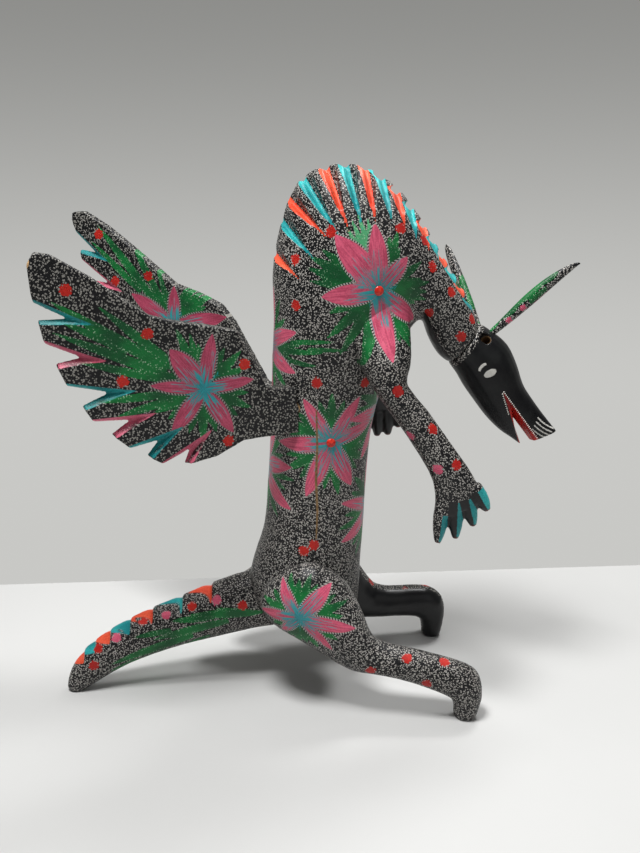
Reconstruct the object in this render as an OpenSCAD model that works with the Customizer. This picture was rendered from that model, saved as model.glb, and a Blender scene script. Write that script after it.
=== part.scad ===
// Carved and painted wooden dragon figure: a trunk that arches into a neck,
// with a glued head, arms, legs and tail, and with wings, a horn and an ear
// that plug into sockets. The figure faces +X and its left side is +Y.
// All sizes are in millimetres.

/* [Wings] */
// Thickness of a wing board at its root
wing_root_thick = 13; // [10:0.5:16]
// Thickness of a wing board at its tip
wing_tip_thick = 7; // [5:0.5:9]
// Length of the peg that plugs a wing into the trunk
wing_peg_len = 22; // [16:1:24]
// Radius of a wing's peg
wing_peg_r = 5; // [4:0.25:5.5]
// Angle in plan between each wing and the line from head to tail
wing_sweep = 19; // [17:1:22]

/* [Horn and ear] */
// Length of a horn or ear outside the head
leaf_len = 84; // [70:1:90]
// Greatest width of a horn or ear
leaf_width = 9.5; // [8.5:0.5:12]
// Thickness of a horn or ear
leaf_thick = 7; // [6:0.5:8]
// Radius of a horn's or ear's peg
leaf_peg_r = 2.4; // [2:0.1:2.6]
// Radius of the empty socket for the right ear
ear_socket_r = 3.2; // [2.6:0.1:3.4]
// Length of a horn's or ear's peg
leaf_peg_len = 11; // [9:1:12]
// Radius of the flat cut round the mouth of the empty socket
ear_seat_r = 4.4; // [3.8:0.2:5]

/* [Crest] */
// Number of notches in the crest of the hump and neck
crest_notches = 16; // [12:1:16]
// Width of the first crest notch
crest_mouth = 9; // [7:0.5:10]

/* [Fastening] */
// Radius of the glued dowels in the arms, legs and neck
dowel_r = 4; // [3:0.25:4.5]
// Radius of the glued dowel in the tail
tail_dowel_r = 5; // [4:0.25:5.5]
// Radial gap between a dowel or peg and its hole
peg_gap = 0.08; // [0.05:0.01:0.1]
// Gap left by glue where two carved pieces meet
glue_gap = 0.06; // [0.05:0.01:0.1]

/* [Hidden] */
$fn = 48;
ring_sides = 24;          // points round a body section
limb_sides = 18;          // points round a limb's section
wing_gap = 0.4;           // wings stay this clear of the trunk
centre = [8.5, -1, 0];    // moves the origin to the middle of the footprint
far = 400;                // longer than any piece

// A section is [in x, in z, out x, out z, y, half thickness]. "In" is the chest or
// throat side and "out" the back side; both are points in the plane of symmetry.
TRUNK = [
    [20, 47, -34, 47, 0, 20], [29, 54, -48, 57, 0, 33], [32, 78, -58, 82, 0, 40],
    [33, 105, -54, 107, 0, 40], [35, 138, -45, 136, 0, 38], [37, 180, -41, 180, 0, 36.5],
    [41, 222, -38.5, 222, 0, 36.5], [52, 262, -37, 260, 0, 39], [64, 288, -35, 304, 0, 42],
    [71, 298, -34, 350, 0, 43], [74, 301, -16, 401, 0, 42], [76, 302, 18, 414, 0, 40],
    [78, 299, 47, 404, 0, 36], [80, 292, 68, 383, 0, 32], [84, 283, 89, 351, 0, 28],
    [90, 274, 106, 325, 0, 24], [98, 268, 120, 298, 0, 20]];
HEAD = [
    [98, 268, 120, 298, 0, 20], [104, 260, 130, 292, 0, 20.5], [110, 250, 142, 282, 0, 20],
    [118, 239, 150, 267, 0, 17.5], [128, 226, 156, 251, 0, 15], [139, 215, 164, 239, 0, 12.5],
    [149, 208, 174, 226, 0, 9.5], [156, 203, 185, 213, 0, 6]];
TAIL = [
    [-16, 48, -24, 98, 0, 18], [-50, 44, -60, 92, -1, 20], [-78, 38, -90, 82, -3, 19],
    [-105, 33, -116, 72, -7, 17], [-130, 27, -143, 62, -12, 15], [-155, 19, -167, 51, -17, 13],
    [-178, 8, -190, 36, -23, 11], [-192, 0, -203, 18, -27, 8], [-196, -2, -207, 3, -28, 6]];
RIGHT_ARM = [
    [30, 322, 62, 325, -24, 9], [22, 304, 68, 309, -29, 16], [24, 284, 68, 291, -34, 19],
    [33, 266, 65, 273, -39, 18], [43, 251, 63, 261, -43, 15], [58, 231, 78, 243, -47, 13],
    [73, 209, 93, 222, -50, 12], [83, 190, 107, 203, -52, 11], [85, 173, 116, 188, -53, 9],
    [86, 160, 120, 178, -53, 7]];
LEFT_ARM = [
    [32, 318, 60, 320, 24, 9], [26, 300, 68, 304, 30, 16], [27, 280, 68, 286, 37, 18],
    [31, 262, 63, 268, 43, 16], [34, 246, 60, 250, 47, 13], [36, 230, 60, 232, 49, 11],
    [37, 216, 64, 218, 50, 8]];
RIGHT_LEG = [
    [-48, 80, -42, 98, -33, 9], [-38, 67, -24, 115, -37, 17], [-20, 57, -3, 120, -41, 21],
    [4, 43, 21, 104, -45, 21], [24, 33, 34, 79, -50, 18], [39, 33, 43, 60, -54, 14.5],
    [60, 30, 66, 55, -57, 13], [84, 23, 92, 50, -60, 12.5], [100, 17, 114, 44, -63, 12],
    [103, 13, 123, 36, -64, 12], [104, 7, 126, 18, -64, 11.5], [104, -2, 121, -3, -64, 9]];
LEFT_LEG = [
    [-84, 56, -81, 63, 36, 6], [-64, 47, -62, 75, 38, 15], [-26, 40, -18, 104, 41, 20],
    [4, 30, 16, 99, 45, 20], [26, 24, 35, 74, 50, 17], [44, 22, 49, 53, 54, 14.5],
    [68, 21, 71, 49, 58, 13.5], [86, 19, 96, 48, 61, 13], [91, 14, 110, 38, 62, 12.5],
    [92, 7, 113, 20, 62, 11.5], [93, -2, 109, -3, 62, 9]];

// A finger is [base x, base z, tip x, tip z, y].
RIGHT_FINGERS = [[91, 178, 88, 142, -53], [100, 180, 101, 146, -53.5],
    [107, 182, 114, 156, -53.5], [113, 187, 124, 168, -53]];
LEFT_FINGERS = [[42, 224, 38, 198, 50], [48, 223, 48, 193, 50.5],
    [55, 223, 57, 194, 50.5], [60, 225, 66, 201, 50]];

// Each crest notch is [bottom x, bottom z] in the middle plane, then [x, z] of its
// inner end on the trunk's sides.
crest = [[-32, 348, -20, 339], [-27, 372, -12, 357], [-22, 388, -5, 373], [-11, 401, 4, 379],
    [5, 408, 14, 384], [19, 410, 25, 386], [33, 408, 36, 386], [45, 401, 48, 383],
    [56, 391, 58, 377], [66, 380, 67, 367], [76, 367, 77, 356], [84, 356, 85, 347],
    [91, 345, 92, 337], [98, 334, 99, 327], [105, 323, 106, 316], [112, 312, 113, 306]];
crest_side = 28;          // distance of the inner ends from the middle plane

// Where each notch's upright wall stands along the tail
tail_notches = [-89, -113, -137, -155, -171, -183, -192, -199];

// Wing outlines: distance out from the trunk's skin along the wing, and height over the peg.
right_outline = [[-30, -17], [18, -19], [37, -20], [57, -30], [82, -35], [98, -31], [119, -18],
    [143, 4], [159, 32], [171, 63], [176, 93], [177, 112], [172, 120], [162, 118], [138, 103],
    [113, 84], [100, 75], [83, 70], [65, 67], [40, 61], [34, 46], [18, 17], [-30, 16]];
left_outline = [[-30, -17], [18, -19], [39, -22], [61, -30], [88, -34], [106, -28], [129, -12],
    [153, 14], [169, 44], [178, 74], [181, 91], [187, 114], [190, 133], [193, 142], [192, 148],
    [181, 149], [172, 144], [161, 138], [136, 120], [119, 107], [101, 93], [79, 86], [61, 78],
    [50, 65], [36, 41], [22, 17], [-30, 16]];
// Wing notches: the inner end of the through cut, then its mouth's upper and lower corners.
right_notches = [[[155, 76], [182, 91], [180, 76]], [[148, 49], [175, 62], [170, 45]],
    [[131, 23], [164, 31], [155, 13]], [[118, 2], [148, 3], [137, -11]],
    [[99, -15], [123, -20], [111, -30]], [[77, -24], [100, -35], [83, -39]]];
left_notches = [[[174, 116], [198, 138], [200, 120]], [[163, 91], [191, 112], [188, 94]],
    [[146, 62], [184, 77], [178, 58]], [[136, 34], [170, 45], [163, 26]],
    [[120, 8], [154, 12], [144, -3]], [[100, -9], [125, -14], [115, -26]]];
wing_cut_run = 24;        // how much further in a notch's cut runs on the wing's faces
wing_cut_side = 4.5;      // how much it widens there to each side
right_root = [-22, -29, 240];     // where each wing's peg leaves the trunk
left_root = [-22, 29, 226];
horn_root = [128, 0, 289];
horn_pitch = 42;                  // above the horizontal, pointing forwards
ear_root = [123, 13.5, 289];      // left side; the right side is its mirror image
ear_dir = [-0.25, 0.65, 0.72];
ear_seat_depth = 2.3;             // of the flat cut, in from the ear's root

// Catmull-Rom curve through a list of sections, with n steps between each two.
function blend(p, i, t) = let (a = p[max(i - 1, 0)], b = p[i], c = p[i + 1],
    d = p[min(i + 2, len(p) - 1)])
    0.5 * (2 * b + (c - a) * t + (2 * a - 5 * b + 4 * c - d) * t * t
        + (3 * b - a - 3 * c + d) * t * t * t);
function smooth(p, n) = [for (i = [0:len(p) - 2]) for (k = [0:n - 1]) blend(p, i, k / n),
    p[len(p) - 1]];

// One section as a ring of points; grow widens it all round.
function ring(s, sides, grow = 0) = let (
    mid = [(s[0] + s[2]) / 2, (s[1] + s[3]) / 2],
    half = [(s[2] - s[0]) / 2, (s[3] - s[1]) / 2],
    wide = half * (1 + grow / norm(half)))
    [for (j = [0:sides - 1]) let (t = 360 * j / sides)
        [mid[0] + wide[0] * cos(t), s[4] + (s[5] + grow) * sin(t), mid[1] + wide[1] * cos(t)]];

// A closed solid skinned over a list of rings with equal numbers of points.
function middle(ring, i = 0) = i == len(ring) ? [0, 0, 0] : ring[i] / len(ring) + middle(ring, i + 1);
module skin(rings) {
    n = len(rings[0]);
    m = len(rings);
    facing = cross(rings[0][1] - rings[0][0], rings[0][2] - rings[0][0]);
    forward = facing * (middle(rings[1]) - middle(rings[0])) > 0;
    start = [for (j = [0:n - 1]) j];
    end = [for (j = [n - 1:-1:0]) (m - 1) * n + j];
    walls = [for (i = [0:m - 2]) for (j = [0:n - 1]) let (k = (j + 1) % n,
        a = i * n + j, b = i * n + k, c = a + n, d = b + n)
        each [[a, c, b], [b, c, d]]];
    faces = concat([start], walls, [end]);
    polyhedron([for (r = rings) each r],
        forward ? faces : [for (f = faces) [for (k = [len(f) - 1:-1:0]) f[k]]]);
}

module loft(sections, sides, grow = 0) {
    skin([for (s = sections) ring(s, sides, grow)]);
}

// A cut through both sides that is slim at its middle and opens out to each side.
// Each argument is a triangle: the cut's inner end and the two corners of its mouth.
module vee(right, slim, left) skin([right, slim, left]);

// Turns +Z to a direction.
module along(dir) {
    flat = norm([dir[0], dir[1]]);
    rotate([0, acos(dir[2] / norm(dir)), flat == 0 ? 0 : atan2(dir[1], dir[0])]) children();
}

module pin(from, to, r) {
    translate(from) along(to - from) cylinder(r = r, h = norm(to - from));
}

module floor_cut() {
    translate([-far, -far, -far]) cube([2 * far, 2 * far, far]);
}

module crest_notch(i) {
    bottom = [crest[i][0], crest[i][1]];
    end = [crest[i][2], crest[i][3]];
    out = (bottom - end) / norm(bottom - end);
    across = [-out[1], out[0]] * crest_mouth * (1 - 0.02 * i);
    side = 40;
    inner = bottom + (end - bottom) * side / crest_side;
    wide = [inner, bottom + out * 8 + across, bottom + out * 8 - across];
    slim = [bottom, wide[1], wide[2]];
    vee([for (p = wide) [p[0], -side, p[1]]], [for (p = slim) [p[0], 0, p[1]]],
        [for (p = wide) [p[0], side, p[1]]]);
}

// Holes for pins that pass between two pieces
neck_mid = [105, 0, 277.5];
neck_axis = [0.806, 0, -0.592];
module neck_pin(r) pin(neck_mid - neck_axis * 13, neck_mid + neck_axis * 13, r);
module arm_pin(side, r) pin([43, side * 16, 288], [43, side * 46, 288], r);
module leg_pins(side, r) {
    pin([-14, side * 22, 86], [-14, side * 52, 86], r);
    pin([10, side * 22, 74], [10, side * 52, 74], r);
}
module tail_pin(r) pin([-34, 0, 74], [-74, -2, 66], r);
module wing_pin(side, r, extra = 0) {
    root = side < 0 ? right_root : left_root;
    dir = [cos(wing_sweep), -side * sin(wing_sweep), 0];
    pin(root - dir * 12, root + dir * (wing_peg_len + extra), r);
}
module horn_peg(r, extra) {
    dir = [cos(horn_pitch), 0, sin(horn_pitch)];
    pin(horn_root - dir * (leaf_peg_len + extra), horn_root + dir * 8, r);
}
module ear_pin(side, from, to, r) {
    dir = [ear_dir[0], side * ear_dir[1], ear_dir[2]] / norm(ear_dir);
    root = [ear_root[0], side * ear_root[1], ear_root[2]];
    pin(root + dir * from, root + dir * to, r);
}
module ear_peg(side, r, extra) ear_pin(side, -leaf_peg_len - extra, 8, r);

// Drying crack down the right side of the trunk, filled with putty
crack = [[-3, 138, 1.0], [-2, 160, 1.6], [-3, 185, 1.8], [-2, 212, 1.5], [-2.5, 240, 1.0]];
module crack_shape(gap) {
    for (i = [0:len(crack) - 2]) let (a = crack[i], b = crack[i + 1])
        translate([0, -30, 0]) rotate([90, 0, 0]) linear_extrude(height = 12)
            polygon([[a[0] - a[2] / 2 - gap, a[1]], [a[0] + a[2] / 2 + gap, a[1]],
                [b[0] + b[2] / 2 + gap, b[1]], [b[0] - b[2] / 2 - gap, b[1]]]);
}

module trunk() {
    color("#3b4a41") difference() {
        loft(smooth(TRUNK, 3), ring_sides);
        for (i = [0:crest_notches - 1]) crest_notch(i);
        for (side = [-1, 1]) {
            wing_pin(side, wing_peg_r + peg_gap, 0.5);
            arm_pin(side, dowel_r + peg_gap);
            leg_pins(side, dowel_r + peg_gap);
        }
        neck_pin(dowel_r + peg_gap);
        tail_pin(tail_dowel_r + peg_gap);
        crack_shape(0.05);
    }
}

module crack_filler() {
    color("#7b5c33") intersection() {
        crack_shape(0);
        loft(smooth([for (i = [3:7]) TRUNK[i]], 3), ring_sides, -0.2);
    }
}

module head() {
    apex_side = [142, 246];
    apex_mid = [147, 228];
    low_side = [156, 198];
    low_mid = [159.5, 197];
    high_side = [177, 197];
    high_mid = [171, 197];
    wide = [[apex_side[0], 0, apex_side[1]], [low_side[0], 0, low_side[1]],
        [high_side[0], 0, high_side[1]]];
    slim = [[apex_mid[0], 0, apex_mid[1]], [low_mid[0], 0, low_mid[1]],
        [high_mid[0], 0, high_mid[1]]];
    color("#16181a") difference() {
        translate(neck_axis * glue_gap) head_skin();
        vee([for (p = wide) p - [0, 18, 0]], slim, [for (p = wide) p + [0, 18, 0]]);
        neck_pin(dowel_r + peg_gap);
        horn_peg(leaf_peg_r + peg_gap, 0.3);
        ear_peg(1, leaf_peg_r + peg_gap, 0.3);
        ear_peg(-1, ear_socket_r, 0.3);
        ear_pin(-1, -ear_seat_depth, 8, ear_seat_r);
    }
}

module finger(f) {
    base = [f[0], f[1]];
    tip = [f[2], f[3]];
    dir = (tip - base) / norm(tip - base);
    across = [-dir[1], dir[0]];
    // Along the finger: fraction of its length, half width, half thickness
    sections = [for (k = [[0, 5.5, 6.5], [0.4, 6, 6.2], [0.75, 4.8, 5.2], [1, 2.4, 2.8]])
        let (c = base + (tip - base) * k[0], a = c - across * k[1], b = c + across * k[1])
        [a[0], a[1], b[0], b[1], f[4], k[2]]];
    loft(smooth(sections, 2), 12);
}

module arm(sections, fingers, side) {
    color("#3b4a41") difference() {
        union() {
            loft(smooth(sections, 2), limb_sides);
            for (f = fingers) finger(f);
        }
        loft(smooth([for (i = [6:13]) TRUNK[i]], 3), ring_sides, glue_gap);
        arm_pin(side, dowel_r + peg_gap);
    }
}

module leg(sections, side) {
    color("#3b4a41") difference() {
        loft(smooth(sections, 2), limb_sides);
        loft(smooth([for (i = [0:5]) TRUNK[i]], 3), ring_sides, glue_gap);
        leg_pins(side, dowel_r + peg_gap);
        floor_cut();
    }
}

// Saw-like notches along the tail: each falls at an upright wall, then slopes back up.
tail_fine = smooth(TAIL, 3);
function tail_at(x) = let (
    i = max([for (k = [0:len(tail_fine) - 2]) if (tail_fine[k][2] >= x) k]),
    t = (x - tail_fine[i][2]) / (tail_fine[i + 1][2] - tail_fine[i][2]))
    tail_fine[i] * (1 - t) + tail_fine[i + 1] * t;
module tail_notch(i) {
    s = tail_at(tail_notches[i]);
    e = tail_at(tail_notches[i + 1]);
    start = [s[2], s[3]];
    end = [e[2], e[3]];
    up = [s[2] - s[0], s[3] - s[1]] / norm([s[2] - s[0], s[3] - s[1]]);
    deep = 8 - 0.7 * i;
    slim = [start - up * 2.5, start + up * 8, end + up * 0.5];
    wide = [start - up * deep * 1.4, start + up * 8, end + up * 0.5];
    vee([for (p = wide) [p[0], s[4] - s[5], p[1]]], [for (p = slim) [p[0], s[4], p[1]]],
        [for (p = wide) [p[0], s[4] + s[5], p[1]]]);
}

module tail() {
    color("#3b4a41") difference() {
        loft(tail_fine, limb_sides);
        loft(smooth([for (i = [0:5]) TRUNK[i]], 3), ring_sides, glue_gap);
        for (i = [0:len(tail_notches) - 2]) tail_notch(i);
        tail_pin(tail_dowel_r + peg_gap);
        floor_cut();
    }
}

// A wing lies in its own x-y plane, with x out along the wing, and thickness along z.
module wing_notch(n) {
    half = wing_root_thick / 2;
    inward = n[0] - (n[1] + n[2]) / 2;
    spread = (n[1] - n[2]) * wing_cut_side / norm(n[1] - n[2]);
    wide = [n[0] + inward * wing_cut_run / norm(inward), n[1] + spread, n[2] - spread];
    vee([for (p = wide) [p[0], p[1], -half]], [for (p = n) [p[0], p[1], 0]],
        [for (p = wide) [p[0], p[1], half]]);
}

module wing_board(outline, notches) {
    slope = atan((wing_root_thick - wing_tip_thick) / 2 / 175);
    difference() {
        translate([0, 0, -wing_root_thick / 2]) linear_extrude(height = wing_root_thick)
            polygon(outline);
        for (flip = [0, 1]) mirror([0, 0, flip])
            translate([0, 0, wing_root_thick / 2]) rotate([0, slope, 0])
                translate([0, -far / 2, 0]) cube([far, far, far / 2]);
        for (n = notches) wing_notch(n);
    }
}

module wing(side, root, outline, notches) {
    color("#2f4a3a") union() {
        difference() {
            translate(root) rotate([0, 0, 180 - side * wing_sweep]) rotate([90, 0, 0])
                wing_board(outline, notches);
            loft(smooth([for (i = [4:9]) TRUNK[i]], 3), ring_sides, wing_gap);
        }
        wing_pin(side, wing_peg_r);
    }
}

// A leaf-shaped horn or ear that grows along +Z from its root. Along the leaf: fraction
// of its length, then width, thickness and sideways bend.
horn_shape = [[-0.04, 0.5, 0.72, 0], [0.12, 0.66, 0.85, 0], [0.3, 0.88, 1, -0.5], [0.5, 1, 1, -1],
    [0.7, 0.9, 0.85, -0.8], [0.88, 0.6, 0.6, 0.5], [0.96, 0.36, 0.4, 1.6], [1, 0.16, 0.2, 3]];
ear_shape = [[-0.04, 0.5, 0.72, 0], [0.12, 0.7, 0.85, 0], [0.3, 0.95, 1, 0], [0.5, 1.1, 1, 0],
    [0.7, 1.1, 0.9, 0], [0.88, 0.9, 0.7, 0], [0.96, 0.62, 0.5, 0], [1, 0.24, 0.3, 0]];
module leaf(leaf_shape) {
    w = leaf_width / 2;
    t = leaf_thick / 2;
    loft(smooth([for (k = leaf_shape) let (z = k[0] * leaf_len)
        [k[3] + w * k[1], z, k[3] - w * k[1], z, 0, t * k[2]]], 3), limb_sides);
}

module head_skin(grow = 0) loft(smooth(HEAD, 3), ring_sides, grow);

module horn() {
    color("#54695c") union() {
        difference() {
            translate(horn_root) rotate([0, 90 - horn_pitch, 0]) leaf(horn_shape);
            head_skin(0.3);
        }
        horn_peg(leaf_peg_r, 0);
    }
}

module left_ear() {
    color("#54695c") union() {
        difference() {
            translate(ear_root) along(ear_dir) leaf(ear_shape);
            head_skin(0.3);
        }
        ear_peg(1, leaf_peg_r, 0);
    }
}

translate(centre) trunk();
translate(centre) head();
translate(centre) arm(RIGHT_ARM, RIGHT_FINGERS, -1);  // right_arm
translate(centre) arm(LEFT_ARM, LEFT_FINGERS, 1);  // left_arm
translate(centre) leg(RIGHT_LEG, -1);  // right_leg
translate(centre) leg(LEFT_LEG, 1);  // left_leg
translate(centre) tail();
translate(centre) wing(-1, right_root, right_outline, right_notches);  // right_wing
translate(centre) wing(1, left_root, left_outline, left_notches);  // left_wing
translate(centre) horn();
translate(centre) left_ear();
translate(centre) crack_filler();
translate(centre) color("burlywood") neck_pin(dowel_r);  // neck_dowel
translate(centre) color("burlywood") arm_pin(-1, dowel_r);  // right_arm_dowel
translate(centre) color("burlywood") arm_pin(1, dowel_r);  // left_arm_dowel
translate(centre) color("burlywood") leg_pins(-1, dowel_r);  // right_leg_dowels
translate(centre) color("burlywood") leg_pins(1, dowel_r);  // left_leg_dowels
translate(centre) color("burlywood") tail_pin(tail_dowel_r);  // tail_dowel
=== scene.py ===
import math

import bpy
import numpy as np
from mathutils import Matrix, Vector
from mathutils.bvhtree import BVHTree


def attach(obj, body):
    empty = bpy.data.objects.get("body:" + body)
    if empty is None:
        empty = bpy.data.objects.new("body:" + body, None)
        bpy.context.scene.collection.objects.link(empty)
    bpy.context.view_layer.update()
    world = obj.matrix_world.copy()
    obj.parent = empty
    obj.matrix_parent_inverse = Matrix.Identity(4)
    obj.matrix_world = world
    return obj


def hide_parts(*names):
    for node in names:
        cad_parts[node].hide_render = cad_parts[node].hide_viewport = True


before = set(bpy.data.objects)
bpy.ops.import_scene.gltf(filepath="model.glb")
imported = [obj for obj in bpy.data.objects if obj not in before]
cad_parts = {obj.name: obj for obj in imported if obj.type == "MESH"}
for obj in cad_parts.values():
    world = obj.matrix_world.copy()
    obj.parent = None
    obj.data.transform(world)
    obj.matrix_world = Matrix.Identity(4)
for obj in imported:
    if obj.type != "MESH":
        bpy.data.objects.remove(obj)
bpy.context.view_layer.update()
bpy.ops.object.select_all(action="DESELECT")
mm = 0.001
far = 100.0                                 # mm, a field's value where there is no paint
middleY = -1.0                              # mm, the plane that halves the trunk
carving = np.array([8.5, middleY, 0.0])     # mm, from the carving's own origin to the model's

# camera
cameraSettings = {"place": (0.0085, -0.673, 0.422), "pitch": 73.0, "lens": 38.0, "sensor": 36.0}
cameraData = bpy.data.cameras.new("camera")
cameraData.lens = cameraSettings["lens"]
cameraData.sensor_width = cameraSettings["sensor"]
camera = bpy.data.objects.new("camera", cameraData)
camera.location = cameraSettings["place"]
camera.rotation_euler = (math.radians(cameraSettings["pitch"]), 0, 0)
bpy.context.collection.objects.link(camera)
bpy.context.scene.camera = camera
bpy.context.scene.view_settings.view_transform = "Standard"


class Brush:
    # a socket in a material's nodes; sums written on it add Math nodes
    def __init__(self, tree, socket=None):
        self.tree, self.socket = tree, socket

    def node(self, kind, inputs, settings=(), out=0):
        made = self.tree.nodes.new("ShaderNode" + kind)
        for name, value in dict(settings).items():
            setattr(made, name, value)
        for key, value in inputs.items():
            if isinstance(value, Brush):
                self.tree.links.new(value.socket, made.inputs[key])
            else:
                made.inputs[key].default_value = value
        return Brush(self.tree, made.outputs[out])

    def sum(self, operation, *values):
        return self.node("Math", dict(enumerate(values)), {"operation": operation})

    def __add__(self, other):
        return self.sum("ADD", self, other)

    def __radd__(self, other):
        return self.sum("ADD", other, self)

    def __sub__(self, other):
        return self.sum("SUBTRACT", self, other)

    def __rsub__(self, other):
        return self.sum("SUBTRACT", other, self)

    def __mul__(self, other):
        return self.sum("MULTIPLY", self, other)

    def most(self, other):
        return self.sum("MAXIMUM", self, other)

    def ramp(self, low, high):
        # 0 at low and 1 at high, whichever of the two is the greater
        inputs = {"Value": self, "From Min": low, "From Max": high}
        return self.node("MapRange", inputs, {"interpolation_type": "SMOOTHSTEP"})

    def field(self, name):
        return self.node("Attribute", {}, {"attribute_name": name}, out=2)

    def mix(self, factor, first, second):
        inputs = {0: factor, 6: first, 7: second}
        return self.node("Mix", inputs, {"data_type": "RGBA"}, out=2)

    def shift(self, place, amount, scale):
        # a place moved about by noise, amount in metres
        cloud = self.node("TexNoise", {"Vector": place, "Scale": scale, "Detail": 1.0}, out=1)
        centred = self.node("VectorMath", {0: cloud, 1: (0.5, 0.5, 0.5)}, {"operation": "SUBTRACT"})
        inputs = {0: centred, 1: (amount,) * 3, 2: place}
        return self.node("VectorMath", inputs, {"operation": "MULTIPLY_ADD"})


def colour(red, green, blue):
    return (red, green, blue, 1.0)


def newMaterial(name, roughness, gloss=0.34):
    made = bpy.data.materials.new(name)
    made.use_nodes = True
    shader = made.node_tree.nodes["Principled BSDF"]
    shader.inputs["Roughness"].default_value = roughness
    shader.inputs["Specular IOR Level"].default_value = gloss
    return made, shader, Brush(made.node_tree)


def finishMaterial(shader, brush, tint, roughness, height, depth):
    links = {"Base Color": tint, "Roughness": roughness}
    links["Normal"] = brush.node("Bump", {"Height": height, "Distance": depth, "Strength": 0.8})
    for name, value in links.items():
        brush.tree.links.new(value.socket, shader.inputs[name])


paint = {
    "ground": colour(0.004, 0.004, 0.005), "dot": colour(0.42, 0.40, 0.37),
    "plain": colour(0.005, 0.005, 0.006), "plainWorn": colour(0.011, 0.012, 0.012),
    "green": colour(0.003, 0.170, 0.034), "greenDeep": colour(0.001, 0.070, 0.018),
    "greenDot": colour(0.30, 0.52, 0.32), "mint": colour(0.10, 0.44, 0.20),
    "pink": colour(0.76, 0.135, 0.225), "pinkDeep": colour(0.56, 0.070, 0.140),
    "core": colour(0.003, 0.17, 0.20), "coreLight": colour(0.010, 0.34, 0.37),
    "red": colour(0.60, 0.020, 0.010), "redDeep": colour(0.34, 0.006, 0.005),
    "bare": colour(0.52, 0.33, 0.16), "nail": colour(0.10, 0.022, 0.016),
}


def paintedWood(name, look):
    made, shader, brush = newMaterial(name, 0.4)
    place = brush.node("TexCoord", {}, out=3)
    bent = brush.shift(place, look["bend"] * mm, 620.0)
    cells = brush.node("TexVoronoi", {"Vector": bent, "Scale": 1000.0 / look["spacing"], "Randomness": 0.9})
    fine = brush.node("TexNoise", {"Vector": place, "Scale": 900.0, "Detail": 2.0})
    broad = brush.node("TexNoise", {"Vector": place, "Scale": 45.0, "Detail": 3.0})
    wave = (fine - 0.5) * 1.6                                      # mm, a brush's unsteady edge
    size = look["size"] + (broad - 0.5) * 0.12
    dots = (cells - size).ramp(0.05, -0.03)
    tint = brush.mix(dots, paint["ground"], look["dot"])

    # green leaves: solid inside, pale dots along the edges
    leaf = brush.field("leaf") + wave
    inLeaf = leaf.ramp(-0.15, 0.25)
    leafDots = (cells - (size - 0.12)).ramp(0.04, -0.04) * leaf.ramp(2.5, 1.0)
    green = brush.mix(broad.ramp(0.35, 0.65), paint["greenDeep"], paint["green"])
    green = brush.mix(brush.field("mint") * 0.8, green, paint["mint"])
    green = brush.mix(leafDots, green, paint["greenDot"])
    tint = brush.mix(inLeaf, tint, green)

    # pink petals with fine streaks, a turquoise heart and a rim of small white strokes
    petal = brush.field("petal")
    along = brush.field("along")
    across = brush.field("across")
    strand = brush.node("CombineXYZ", {0: across * 0.85, 1: along * 0.06})
    streak = brush.node("TexNoise", {"Vector": strand, "Scale": 1.0, "Detail": 2.0})
    inPetal = (petal + wave * 0.3).ramp(-0.1, 0.3)
    stitch = brush.sum("SINE", along * (2 * math.pi / look["stitch"]) + across * 1.5)
    rim = brush.sum("ABSOLUTE", petal + 0.55).ramp(0.95, 0.65) * (1 - inPetal)
    tint = brush.mix(rim, tint, brush.mix(stitch.ramp(-0.35, 0.0), paint["ground"], look["dot"]))
    pink = brush.mix((streak * 0.65 + fine * 0.35).ramp(0.36, 0.62), *look["petal"])
    tint = brush.mix(inPetal, tint, pink)
    core = brush.field("core")
    reach = (streak - 0.52) * 90.0 + look["heart"] - core               # mm, streaks end raggedly
    middle = (look["star"] - core + wave * 3.0 + (streak - 0.5) * 36.0).ramp(-1.5, 1.5)
    heart = (reach.ramp(-1.0, 4.0) * inPetal * 0.86).most(middle * 0.97)
    tint = brush.mix(heart, tint, brush.mix(streak.ramp(0.3, 0.7), paint["core"], paint["coreLight"]))

    # carved notches, painted all over in turn
    lit = (broad * 0.6 + fine * 0.4).ramp(0.35, 0.7)
    for key in ("warm", "cool"):
        inside = brush.field(key).ramp(-0.25, 0.15)
        tint = brush.mix(inside, tint, brush.mix(lit, look[key][0], look[key][1]))
        dots = dots * (1 - inside)

    # red and pink spots with jagged edges
    for key, first, second in (("spot", "redDeep", "red"), ("blush", "pinkDeep", "pink")):
        jag = brush.field(key) + (cells - 0.4) * 2.6
        inside = jag.ramp(-0.2, 0.25)
        tint = brush.mix(inside, tint, brush.mix(lit, paint[first], paint[second]))

    plain = (brush.field("plain") + wave).ramp(-0.3, 0.3)
    tint = brush.mix(plain, tint, brush.mix(broad.ramp(0.4, 0.75), paint["plain"], paint["plainWorn"]))
    tips = brush.field("tips").ramp(-0.4, 0.4)
    tint = brush.mix(tips, tint, paint["nail"])
    bare = brush.field("bare").ramp(-0.2, 0.2)
    tint = brush.mix(bare, tint, paint["bare"])

    raised = dots * (1 - inPetal) * (1 - plain)
    height = raised + streak * 0.35 * inPetal + fine * 0.25 + broad * 0.6
    rough = 0.46 - plain * 0.13 - inPetal * 0.08 + (fine - 0.5) * 0.12 + bare * 0.3
    finishMaterial(shader, brush, tint, rough, height, 0.00022)
    return made


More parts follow.
